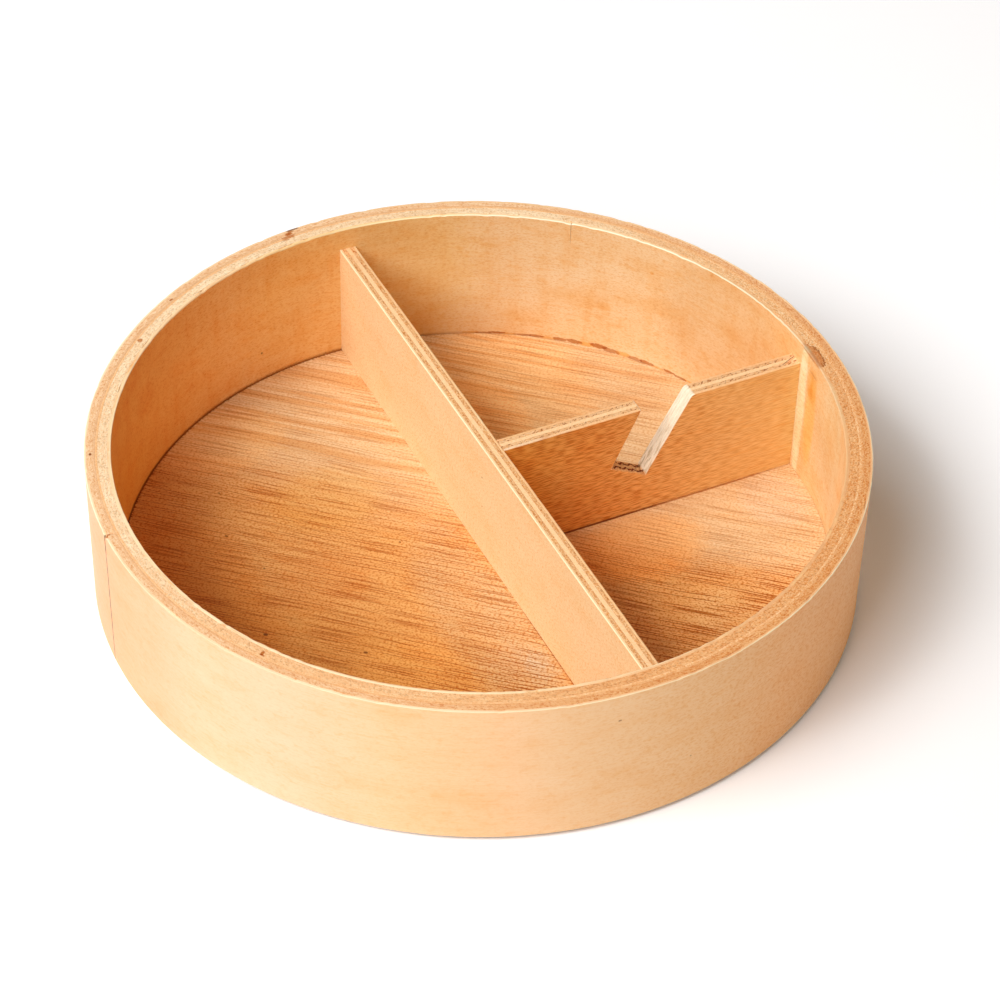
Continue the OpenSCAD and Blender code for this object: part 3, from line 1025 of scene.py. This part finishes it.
def board_woods():
    return {
        "main_face": veneer(
            "main_veneer_wood", srgb(241, 209, 160), srgb(248, 212, 164), 80.0,
            clouds=0.45, streaks=0.4, specks=0.85, worn=(0.35, 0.1), rubbed_gleam=srgb(253, 229, 188),
            marks=main_face_marks()),
        "main_back": veneer(
            "main_back_veneer_wood", srgb(240, 207, 157), srgb(244, 196, 142), 85.0,
            clouds=0.45, streaks=0.4, specks=0.6),
        "cross_face": veneer(
            "cross_veneer_wood", srgb(230, 143, 53), srgb(246, 198, 146), 120.0,
            clouds=0.5, streaks=0.9, specks=0.38, fleck=(3.4, 0.34, 0.0), tint=FLECK, glint=RIPPLE,
            # The turn paints light: the face grows paler towards the right, away from the main divider's
            # shade
            gritty=(0, 3.3), turns=[(0, 0.0, 1.0, (1.14, 2.12, 6.7))], marks=cross_face_marks()),
        "cross_back": veneer(
            "cross_back_veneer_wood", srgb(238, 190, 130), srgb(244, 190, 136), 125.0,
            clouds=0.5, streaks=0.7, specks=0.6, fleck=(3.0, 0.7, 1.0)),
        "main_band": core(
            "main_crossband_wood", srgb(242, 196, 144), srgb(222, 166, 112), srgb(190, 124, 72), -0.4, 70.0,
            dashed=0.6, streaky=0.8, grit=1.0),
        "cross_band": core(
            "cross_crossband_wood", srgb(240, 196, 148), srgb(222, 168, 116), srgb(156, 84, 34), -0.9, 60.0,
            dashed=0.85, cracks=split_marks()),
        "centre": veneer(
            "centre_ply_wood", srgb(248, 202, 150), srgb(250, 208, 158), 200.0, specks=0.6,
            cracks=split_marks()),
        "base": base_wood("base_veneer_wood", 7.0, base_marks(), base_patches()),
        "base_core": core(
            "base_core_wood", srgb(232, 182, 130), srgb(206, 148, 96), srgb(150, 98, 58), 0.0, 90.0),
    }


# The box

def seam_open(z):
    """The outer face's seam is a hairline that opens near the top."""
    return CLOSED_GAP + 3 * SEAM_GAP * smooth(BOX_H - 2.5, BOX_H - 0.5, z)


def seam_topped(z):
    """The inner face's seam is open only near the top."""
    return CLOSED_GAP + 0.6 * SEAM_GAP * smooth(BOX_H - 4, BOX_H - 1, z)


def seam_closed(z):
    """The sheets behind the faces meet in a hairline."""
    return CLOSED_GAP


def build_rim(woods):
    """The six bent sheets. Glue fills the gaps between them, so each reaches out to the one outside it."""
    glued = GLUE_T - CLOSED_GAP
    outer_chips = [(OUTER_SEAM, 0.8, 0.8), (319.0, 0.5, 0.35)]
    inner_chips = [(117.0, 0.7, 0.35), (98.0, 0.5, 0.2), (INNER_SEAM + 0.4, 0.9, 0.3)]
    ring_sheet("outer_face_veneer", "face_veneer", woods["outer_face"], OUTER_R, OUTER_FACE_T,
               OUTER_SEAM, seam_open, ease_out=FACE_EASE, chips=outer_chips, chipped=CHIPPED, seed=1.0)
    ring_sheet("outer_core", "core_ply", woods["outer_core"], OUTER_CORE_R + glued, OUTER_CORE_T + glued,
               OUTER_SEAM, seam_closed, chips=[(OUTER_SEAM, 0.35, 0.5)], seed=2.0)
    ring_sheet("outer_back_veneer", "back_veneer", woods["outer_back"], OUTER_BACK_R + glued, BACK_T + glued,
               OUTER_SEAM, seam_closed, seed=3.0)
    ring_sheet("inner_back_veneer", "back_veneer", woods["inner_back"], INNER_BACK_R + glued, BACK_T + glued,
               INNER_SEAM, seam_closed, seed=4.0)
    ring_sheet("inner_core", "core_ply", woods["inner_core"], INNER_CORE_R + glued, INNER_CORE_T + glued,
               INNER_SEAM, seam_closed, seed=5.0)
    ring_sheet("inner_face_veneer", "face_veneer", woods["inner_face"], INNER_FACE_R + glued,
               INNER_FACE_T + glued, INNER_SEAM, seam_topped, ease_in=INNER_EASE, chips=inner_chips,
               chipped=CHIPPED, seed=6.0)


def build_base(woods):
    disc_sheet("base_bottom_veneer", "base_veneer", woods["base"], 0.0, BASE_VENEER_T, BASE_GRAIN)
    disc_sheet("base_core", "core_ply", woods["base_core"], BASE_CORE_Z, BASE_CORE_Z + BASE_CORE_T,
               BASE_GRAIN + 90)
    disc_sheet("base_top_veneer", "base_veneer", woods["base"], BASE_TOP_Z, FLOOR_Z, BASE_GRAIN)


def build_divider(names, woods, kind, outline, place, seed):
    """The five sheets of a divider, from its first face to its second."""
    band = woods[kind + "_band"]
    sheets = [
        ("face_veneer", woods[kind + "_face"], 0.0, DIVIDER_FACE_T, FACE_EASE, CUT_EASE, 0.4),
        ("core_ply", band, CROSSBAND_1_AT, DIVIDER_CROSSBAND_T, CUT_EASE, CUT_EASE, 0.7),
        ("back_veneer", woods["centre"], CENTRE_AT, DIVIDER_CENTRE_T, CUT_EASE, CUT_EASE, 0.3),
        ("core_ply", band, CROSSBAND_2_AT, DIVIDER_CROSSBAND_T, CUT_EASE, CUT_EASE, 0.7),
        ("face_veneer", woods[kind + "_back"], FACE_2_AT, DIVIDER_FACE_T, CUT_EASE, FACE_EASE, 0.25),
    ]
    for k, (slot, wood, at, t, ease_1, ease_2, rough) in enumerate(sheets):
        board_sheet(names[k], slot, wood, outline, at, t, place, ease_1, ease_2, rough, seed + k)


def build_dividers(woods):
    main = ["left_face", "left_crossband", "centre", "right_crossband", "right_face"]
    cross = ["front_face", "front_crossband", "centre", "back_crossband", "back_face"]
    build_divider(["main_divider_" + n for n in main], woods, "main", main_outline(), place_main, 11.0)
    build_divider(["cross_divider_" + n for n in cross], woods, "cross", cross_outline(), place_cross, 21.0)


# Stage, light and camera

FLOOR_BOUNCE = (0.8, 0.8, 0.8, 1.0)
FLOOR_SEEN = (1.06, 1.07, 1.10, 1.0)
AMBIENT_POWER = 0.02
LAMP_SIZE = 1.5
LAMP_AWAY = 3.0
LAMP_WHITE = (1.0, 1.0, 1.0)
LAMP_WARM = (1.0, 0.7, 0.35)


def sees_stage(g):
    """1 for rays that show the stage itself, 0 for rays that only carry its light."""
    path = g.node("ShaderNodeLightPath")
    seen = g.plus(path.outputs["Is Camera Ray"], path.outputs["Is Glossy Ray"])
    return g.math("MINIMUM", g.plus(seen, path.outputs["Is Transmission Ray"]), 1.0)


def white_floor():
    """Pale floor that looks white and keeps the box's shadow."""
    material = new_material("floor_white")
    g = Graph(material.node_tree)
    shader = g.node("ShaderNodeBsdfDiffuse")
    g.put(shader.inputs["Color"], g.mix(sees_stage(g), FLOOR_BOUNCE, FLOOR_SEEN))
    g.surface(shader)
    return material


def build_floor():
    half = 4.0
    drop = -0.0001
    mesh = bpy.data.meshes.new("floor")
    corners = [(-half, -half, drop), (half, -half, drop), (half, half, drop), (-half, half, drop)]
    mesh.from_pydata(corners, [], [(0, 1, 2, 3)])
    mesh.materials.append(white_floor())
    floor = bpy.data.objects.new("floor", mesh)
    bpy.context.collection.objects.link(floor)


def soft_box(name, azimuth, elevation, power, colour):
    """A square lamp that looks at the box, at an azimuth from +X and an elevation in degrees."""
    a = math.radians(azimuth)
    e = math.radians(elevation)
    away = Vector((math.cos(a) * math.cos(e), math.sin(a) * math.cos(e), math.sin(e)))
    data = bpy.data.lights.new(name, "AREA")
    data.shape = "SQUARE"
    data.size = LAMP_SIZE
    data.energy = power
    data.color = colour
    lamp = bpy.data.objects.new(name, data)
    lamp.location = away * LAMP_AWAY
    lamp.rotation_euler = away.to_track_quat("Z", "Y").to_euler()
    bpy.context.collection.objects.link(lamp)


def build_light():
    world = bpy.data.worlds.new("studio")
    bpy.context.scene.world = world
    world.use_nodes = True
    g = Graph(world.node_tree)
    light = g.node("ShaderNodeBackground")
    light.inputs["Strength"].default_value = AMBIENT_POWER
    seen = g.node("ShaderNodeBackground")
    pick = g.node("ShaderNodeMixShader")
    g.put(pick.inputs[0], sees_stage(g))
    g.put(pick.inputs[1], light.outputs[0])
    g.put(pick.inputs[2], seen.outputs[0])
    g.surface(pick, "ShaderNodeOutputWorld")
    soft_box("left_lamp", 180, 45, 46.0, LAMP_WHITE)
    soft_box("front_left_lamp", 205, 45, 43.0, LAMP_WHITE)
    soft_box("high_lamp", 180, 65, 15.0, LAMP_WHITE)
    soft_box("back_left_lamp", 117, 25, 26.0, LAMP_WHITE)
    soft_box("front_lamp", 255, 25, 15.5, LAMP_WHITE)
    soft_box("right_fill", -49, 25, 16.0, LAMP_WARM)
    soft_box("back_fill", 60, 25, 6.0, LAMP_WARM)


def build_camera():
    e = math.radians(CAMERA_ELEVATION)
    a = math.radians(CAMERA_AZIMUTH)
    r = math.radians(CAMERA_ROLL)
    back = Vector((math.sin(a) * math.cos(e), -math.cos(a) * math.cos(e), math.sin(e)))
    level = Vector((math.cos(a), math.sin(a), 0))
    up = back.cross(level)
    right = math.cos(r) * level + math.sin(r) * up
    over = math.cos(r) * up - math.sin(r) * level
    turn = Matrix((right, over, back)).transposed().to_4x4()
    data = bpy.data.cameras.new("camera")
    data.lens = CAMERA_LENS
    data.sensor_width = SENSOR
    camera = bpy.data.objects.new("camera", data)
    camera.matrix_world = Matrix.Translation(Vector(CAMERA_AT) * MM) @ turn
    bpy.context.collection.objects.link(camera)
    bpy.context.scene.camera = camera


bpy.context.scene.view_settings.view_transform = "Standard"
build_camera()
woods = {**rim_woods(), **board_woods()}
build_rim(woods)
build_base(woods)
build_dividers(woods)
build_floor()
build_light()
